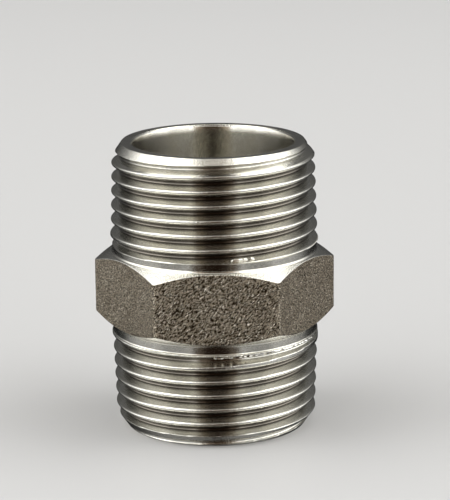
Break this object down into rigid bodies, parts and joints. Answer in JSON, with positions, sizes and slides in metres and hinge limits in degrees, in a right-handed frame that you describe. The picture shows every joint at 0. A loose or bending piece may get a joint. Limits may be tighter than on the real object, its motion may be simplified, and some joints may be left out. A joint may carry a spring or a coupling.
{
  "type": "hex nipple",
  "caption": "Pipe nipple with a hexagonal collar for a spanner, a taper pipe thread on each end and a bore right through.",
  "frame": {"origin": "the middle of the fitting, on the bore axis", "axes": "+Z along the bore towards the upper end, +Y square to a flat of the hexagon, +X towards a corner of it"},
  "size_m": [0.0388, 0.0338, 0.0466],
  "materials": {
    "cast_steel": "blasted casting, matt and finely grained",
    "turned_steel": "turned, satin to bright, with fine lines round the axis"
  },
  "bodies": {
    "root": {"hex_collar": "cast_steel", "upper_thread": "turned_steel", "lower_thread": "turned_steel"}
  },
  "joints": []
}
